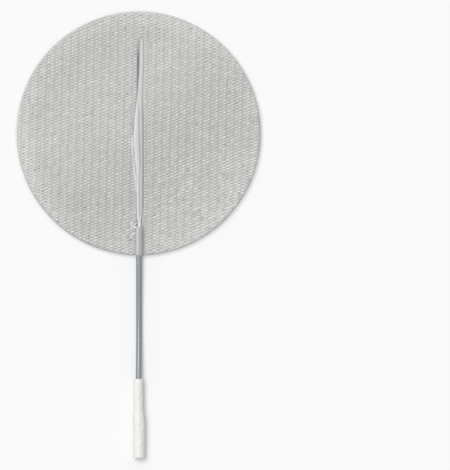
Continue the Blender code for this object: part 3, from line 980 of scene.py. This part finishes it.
def make_beads(material):
    """The column of short round stitches on the right of the conductor."""
    y = np.arange(BEAD_BOTTOM, BEAD_TOP, COURSE_PITCH)
    count = len(y)
    x = BEAD_X + rng.normal(0, 0.03 * MM, count)
    y = y + rng.normal(0, 0.04 * MM, count)
    obj = dashes(
        "bead_stitches", x, y, CLOTH_TOP + 0.14 * MM,
        0.62 * MM * (1 + 0.1 * rng.normal(size=count)),
        np.radians(24 + 6 * rng.normal(size=count)),
        0.02 * MM, 0.56 * MM, 0.3 * MM, 0.24 * MM,
        np.clip(0.72 + 0.12 * rng.normal(size=count), 0, 1), material,
    )
    return place(obj, "conductive_knit")


def make_back_side(material):
    """Bands of steep slanted yarns between smooth ribs, as a warp knit has on its back."""
    period = 2 * WALE_PITCH
    ribs = np.arange(-BACK_RIBS, BACK_RIBS + 1) * period + BACK_RIB_X
    ribs = ribs[np.abs(ribs) < PAD_RADIUS - 1.2 * MM][:, None]
    half_chord = np.sqrt(PAD_RADIUS ** 2 - ribs ** 2) - 0.5 * MM
    y = half_chord * np.linspace(-1, 1, 190)
    course = np.cos(2 * math.pi * y / COURSE_PITCH + ribs * 900)
    x = ribs + 0.06 * MM * wander(ribs, y, 15 * MM, 21)
    centres = np.stack([x, y, 0.2 * MM + 0 * y], axis=-1)
    half = 0.33 * MM * (1 + 0.12 * course)
    sides = np.stack([half, 0 * half, 0 * half], axis=-1)
    ups = np.stack([0 * half, 0 * half, -(0.15 * MM + 0.02 * MM * course)], axis=-1)
    rib_set = swept(
        "back_ribs", centres, sides, ups, 6, material, rng.uniform(0.5, 0.75, len(ribs))
    )
    first_x = -BACK_RIBS * period + BACK_RIB_X + period / 2
    x, y = lattice(first_x, period, 2 * BACK_RIBS + 1, 0.25)
    keep = np.hypot(x, y) < PAD_RADIUS - 0.55 * MM
    x, y = x[keep], y[keep]
    count = len(x)
    tone = np.clip(0.5 + 0.15 * rng.normal(size=count), 0, 1)
    band = dashes(
        "back_yarns",
        x + rng.normal(0, 0.03 * MM, count),
        y + rng.normal(0, 0.04 * MM, count),
        0.19 * MM,
        1.4 * MM * (1 + 0.05 * rng.normal(size=count)),
        np.radians(52 + 3 * rng.normal(size=count)),
        -0.1 * MM, 0.46 * MM, 0.3 * MM, -0.16 * MM, tone, material,
    )
    return [place(rib_set, "conductive_knit"), place(band, "conductive_knit")]


# Conductor

def make_conductor(material):
    """The bare conductor: filaments laid flat in lobes, gathered to a round neck at the jacket."""
    far_end, near_end = 29.4, -29.3
    stations = np.concatenate([
        np.linspace(far_end, 28.6, 6),
        np.linspace(28.3, -24.4, 175),
        np.linspace(-24.65, near_end, 20),
    ]) * MM
    turn = turns_round(64)[None]
    y = stations[:, None]
    left, valley_x, right = ribbon_lines(y)
    left = left + 0.04 * MM * wander(y, y * 0.3, 5 * MM, 31)
    right = right + 0.03 * MM * wander(y, y * 0.5, 6 * MM, 32)
    across = np.sign(np.cos(turn)) * np.abs(np.cos(turn)) ** 0.8
    share = (across + 1) / 2
    middle, half = (left + right) / 2, (right - left) / 2
    upper = np.clip(np.sin(turn), 0, 1) ** 0.5
    lower = np.clip(-np.sin(turn), 0, 1) ** 0.6
    flat_x = middle + half * across
    near = begun(y, 10 * MM, 3 * MM)
    split = near * smooth_step((y + 27.5 * MM) / (3 * MM))
    valley = split * bell(flat_x - valley_x, 0.24 * MM)
    ridge_count = 5 + 4 * split
    ridge = np.abs(np.sin(math.pi * ridge_count * (share + 0.04 * wander(y, y, 8 * MM, 34))))
    mid_height = 0.55 * MM
    top = mid_height + upper * (0.4 - 0.18 * valley + 0.035 * (ridge - 0.5)) * MM
    bottom = mid_height - lower * 0.1 * MM
    flat_z = np.where(np.sin(turn) >= 0, top, bottom)
    end_drop = begun(y, far_end * MM, 0.6 * MM)
    flat_z = 0.5 * MM + (flat_z - 0.5 * MM) * (0.15 + 0.85 * end_drop)
    flat_x = middle + (flat_x - middle) * (0.75 + 0.25 * end_drop)
    neck = begun(y, -25.6 * MM, 3.0 * MM)
    lay = 0.02 * MM * np.abs(np.sin(3 * turn + y * 900))
    neck_x = JACKET_X + 0.19 * MM * smooth_step((y - near_end * MM) / (0.8 * MM))
    round_x = neck_x + (0.48 * MM + lay) * np.cos(turn)
    round_z = JACKET_HEIGHT + (0.36 * MM + lay) * np.sin(turn)
    points = np.stack([
        mixed(flat_x, round_x, neck), y + 0 * turn, mixed(flat_z, round_z, neck),
    ], axis=-1)
    obj = lofted("conductor", points, material)
    # Painted light and shade: the near half is paler on its left lobe and darker in its valley,
    # and the far half darkens towards its right, the side away from the light.
    lobe_highlight = bell(flat_x - left - 0.4 * MM, 0.45 * MM)
    near_tone = 0.38 + 0.18 * lobe_highlight - 0.2 * valley
    far_tone = 0.46 - 0.1 * share
    tone = mixed(far_tone, near_tone, near) + 0.08 * (ridge - 0.5)
    tone = mixed(tone, 0.75, neck)
    set_values(obj, "tone", np.clip(tone, 0, 1) + 0 * turn)
    strands = [f"strand_{number}" for number in range(1, 8)]
    return place(obj, "bare_conductor", *strands)


def fibre_route(places, spacing):
    """A filament through places in mm, as FIBRE_RINGS points."""
    route = smooth_route(np.array(places) * MM, spacing)
    return route[np.linspace(0, len(route) - 1, FIBRE_RINGS).round().astype(int)]


def make_loose_fibres(material):
    """A few broken filaments round the stripped end, and fluff along the ribbon's left side."""
    routes, radii = [], []
    towards_end = np.linspace(-1, 1, FIBRE_RINGS) ** 2
    heights = np.array([0.88, 0.96, 0.88])[:, None]
    for start, bend, end, width, fibres in TUFTS:
        for _ in range(fibres):
            spread = rng.normal(0, 0.1, (3, 2))
            places = np.array([start, bend, end]) + spread
            routes.append(fibre_route(np.hstack([places, heights]), 0.1 * MM))
            radii.append(width * 0.5 * MM * (1 - 0.8 * towards_end))
    for _ in range(FLUFF_COUNT):
        y = rng.uniform(-17.5, 0)
        x = ribbon_lines(y * MM)[0] / MM + rng.uniform(-0.85, 0.15)
        x = max(x, -2.05)
        sway = rng.normal(0, 0.12, 3)
        reach = rng.uniform(0.8, 2.2)
        places = [
            (x + sway[0], y + reach, 0.88), (x + sway[1], y, 0.94), (x + sway[2], y - reach, 0.88),
        ]
        routes.append(fibre_route(places, 0.2 * MM))
        radii.append(0.05 * MM * (1 - 0.6 * towards_end))
    obj = swept_routes(
        "loose_fibres", np.array(routes), np.array(radii), 6, material, tones=0.95, flatness=0.7,
    )
    return place(obj, "bare_conductor")


# Gel

def lip_share(x, y):
    """1 on the side where the gel reaches past the cloth, 0 on the side opposite."""
    return smooth_step(0.4 + 0.65 * facing(x, y, GEL_LIP_TOWARDS))


def gel_radius(x, y):
    """Radius of the gel's edge towards a place."""
    return rim_radius(x, y) + GEL_LIP * lip_share(x, y)


def edge_distance(x, y):
    """How far a place lies inside the gel's edge."""
    return gel_radius(x, y) - np.hypot(x, y)


def gel_bottom(x, y):
    """Height of the gel's face on the cloth, which arches over the lead as a tunnel."""
    off = np.clip(np.abs(x - JACKET_X) / TUNNEL_RADIUS, 0, 1)
    arch = TUNNEL_HEIGHT * np.sqrt(1 - off ** 2) * begun(y, -24.5 * MM, 4.5 * MM)
    return GEL_FACE + arch


def gel_top(x, y):
    """Height of the gel's skin face, with the welt over the lead and a soft round edge."""
    welt = WELT_HEIGHT * bell(x - JACKET_X, WELT_WIDTH) * begun(y, -23.5 * MM, 6.0 * MM)
    height = GEL_TOP + welt + 0.012 * MM * wander(x, y, 17 * MM, 41)
    inward = np.clip(edge_distance(x, y) / EDGE_ROUNDING, 0, 1)
    fullness = 0.72 + 0.28 * np.sqrt(1 - (1 - inward) ** 2)
    bottom = gel_bottom(x, y)
    return bottom + np.maximum(height - bottom, 0.15 * MM) * fullness


def gel_haze_and_light(x, y):
    """How milky the gel looks from above, with a painted highlight on the welt's left flank
    and painted light at the rim, most on the lip side, which faces the light.
    """
    over_jacket = begun(y, JACKET_END + 1.4 * MM, 2.0 * MM)
    over_lead = over_jacket * inside_band(x, JACKET_X - 1.0 * MM, JACKET_X + 1.1 * MM, 0.5 * MM)
    painted_highlight = bell(x - JACKET_X + 0.5 * MM, 0.35 * MM) * over_jacket
    off = edge_distance(x, y)
    rim = smooth_step(1 - off / (1.8 * MM)) * (0.04 + 0.3 * lip_share(x, y))
    return 0.05 + 0.3 * over_lead + 0.24 * painted_highlight + rim * (1 - over_lead)


def cut_edge(x, y):
    """1 on the gel's cut edge, where it is cloudy."""
    return smooth_step(1.1 - edge_distance(x, y) / (0.08 * MM))


def make_gel(material):
    """The clear gel: a soft-edged disc with a low welt and a tunnel for the lead, whose walls
    the mesh follows out to the edge."""
    steps = np.arange(-PAD_RADIUS, PAD_RADIUS, GEL_GRID)
    grid = crossings(steps, steps)
    near = (np.abs(grid[:, 0]) < GEL_FINE_HALF_WIDTH) & (grid[:, 1] < GEL_FINE_END)
    beside = np.linspace(1.15, 2.8, 7)
    arch = np.sin(np.linspace(-math.pi / 2, math.pi / 2, 17))
    fine_x = JACKET_X + TUNNEL_RADIUS * np.concatenate([-beside[::-1], arch, beside])
    fine = crossings(fine_x, np.arange(-PAD_RADIUS, GEL_FINE_END, 0.4 * MM))
    inner = np.concatenate([grid[~near], fine])
    inner = inner[np.hypot(*inner.T) < PAD_RADIUS - 2.6 * MM]
    exit_turns = np.arctan2(-PAD_RADIUS, fine_x)
    turns = np.unique(np.concatenate([turns_round(360), exit_turns % (2 * math.pi)]))
    turns = turns[np.diff(np.append(turns, turns[0] + 2 * math.pi)) > 1e-4]
    ring = np.column_stack([np.cos(turns), np.sin(turns)])
    edge = gel_radius(*ring.T)
    points = [ring * (edge - inset * MM)[:, None] for inset in GEL_RINGS] + [inner]
    flat, triangles = triangulated(np.concatenate(points), [np.arange(len(turns))])
    gel = slab("gel", flat, triangles, gel_top, gel_bottom, material)
    x, y = flat[:, 0], flat[:, 1]
    cloudy = 0.95 * cut_edge(x, y)
    set_values(gel, "haze_and_light", np.concatenate([np.maximum(gel_haze_and_light(x, y), cloudy), cloudy]))
    place(gel, "hydrogel", "hydrogel_layer")


# Lead and sleeve

def make_jacket(material):
    """The lead's jacket as a mesh tube with a cut end, along the part's own route. Returns the
    route too."""
    path = smooth_route(LEAD_ROUTE, 0.7 * MM)
    first = path[0] + np.array([[0, 0, 0], [0, -0.05, 0]]) * MM
    route = np.concatenate([first, path[1:]])
    radii = np.full(len(route), JACKET_RADIUS)
    radii[0] = 0.82 * MM
    jacket = swept_routes("jacket", route[None], radii[None], 40, material)
    return place(jacket, "lead_jacket", "lead_jacket"), path


def make_sleeve(material):
    """A shrunk tube that shows what is in it, with lumps, a slanting crease and a thick lip."""
    turn = turns_round(56)[None]
    along = np.concatenate([
        np.linspace(-0.2, 0.5, 8), np.linspace(0.65, 23.2, 130), np.linspace(23.4, 24.1, 8),
    ]) * MM
    along = along[:, None]
    at, middles, half_widths = (np.array(SLEEVE_OUTLINE) * MM).T
    middle, radius = np.interp(along, at, middles), np.interp(along, at, half_widths)
    lump = wander(along + 3 * MM * np.cos(turn), 5 * MM * np.sin(turn), 7 * MM, 51)
    small = wander(along + 2 * MM * np.cos(turn), 4 * MM * np.sin(turn), 2.4 * MM, 52)
    crease_at = 9.6 * MM + 2.4 * MM * np.cos(turn - 0.6)
    crease = bell(along - crease_at, 0.7 * MM)
    for distance, up in SLEEVE_DIMPLES:
        from_dimple = np.hypot((along / MM - distance) / 0.6, (turn - math.radians(up)) / 0.35)
        crease = crease + 1.1 * bell(from_dimple, 1.0)
    off_ends = inside_band(along, 0.8 * MM, 23.4 * MM, 1.2 * MM)
    radius = radius + off_ends * MM * (0.055 * lump + 0.028 * small - 0.15 * crease)
    x = middle + radius * np.cos(turn)
    z = SLEEVE_HEIGHT + np.minimum(radius, 2.12 * MM) * np.sin(turn)
    outer = np.stack([x, SLEEVE_TAIL - along + 0 * turn, z], axis=-1)
    at, middle, radius = (np.array(SLEEVE_BORE) * MM).T[..., None]
    inner = np.stack([
        middle + radius * np.cos(turn),
        SLEEVE_TAIL - at + 0 * turn,
        SLEEVE_HEIGHT + radius * np.sin(turn),
    ], axis=-1)
    sleeve = lofted("sleeve", np.concatenate([outer, inner]), material, wrap=True)
    # Painted shade: the tone makes the sleeve darker and yellower on its right, away from the
    # light.
    lit_side = 0.5 - 0.5 * np.cos(turn)
    set_values(sleeve, "tone", np.repeat(lit_side, len(outer) + len(inner), axis=0))
    return place(sleeve, "white_sleeve", "socket_sleeve")


def refinished(name, material):
    """One of the part's own nodes, with a new material."""
    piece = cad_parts[name]
    piece.data.materials.clear()
    piece.data.materials.append(material)
    return piece


def main():
    bpy.context.scene.view_settings.view_transform = "Standard"
    make_camera()
    make_light()
    make_floor()

    skin_yarn = yarn_material("skin_yarn", (0.47, 0.468, 0.457), (0.89, 0.887, 0.868), 0.55, 0.0)
    back_yarn = yarn_material("back_yarn", (0.42, 0.42, 0.415), (0.70, 0.70, 0.69), 0.5, 0.2)
    conductor = conductor_material()
    jacket, path = make_jacket(jacket_material())
    sleeve = make_sleeve(sleeve_material())
    plated = metal_material("plated_contact", (0.58, 0.56, 0.50), (0.76, 0.74, 0.68), 0.28)
    strand_metal = metal_material("conductor_tail", (0.5, 0.5, 0.5), (0.68, 0.68, 0.68), 0.4)
    contact = refinished("socket_contact", plated)
    tail = refinished("conductor_tail", strand_metal)

    cloth = make_cloth(cloth_material())
    # Dark yarn for the gaps: painted shade between the stitches.
    gap_shade_yarn = yarn_material("gap_shade_yarn", (0.22, 0.22, 0.214), (0.5, 0.498, 0.485), 0.8, 0.0)
    yarns = [
        *make_skin_side(skin_yarn), *make_gap_shade(gap_shade_yarn), make_beads(skin_yarn),
        *make_back_side(back_yarn),
    ]
    make_conductor(conductor)
    make_loose_fibres(conductor)
    make_gel(gel_material())


main()
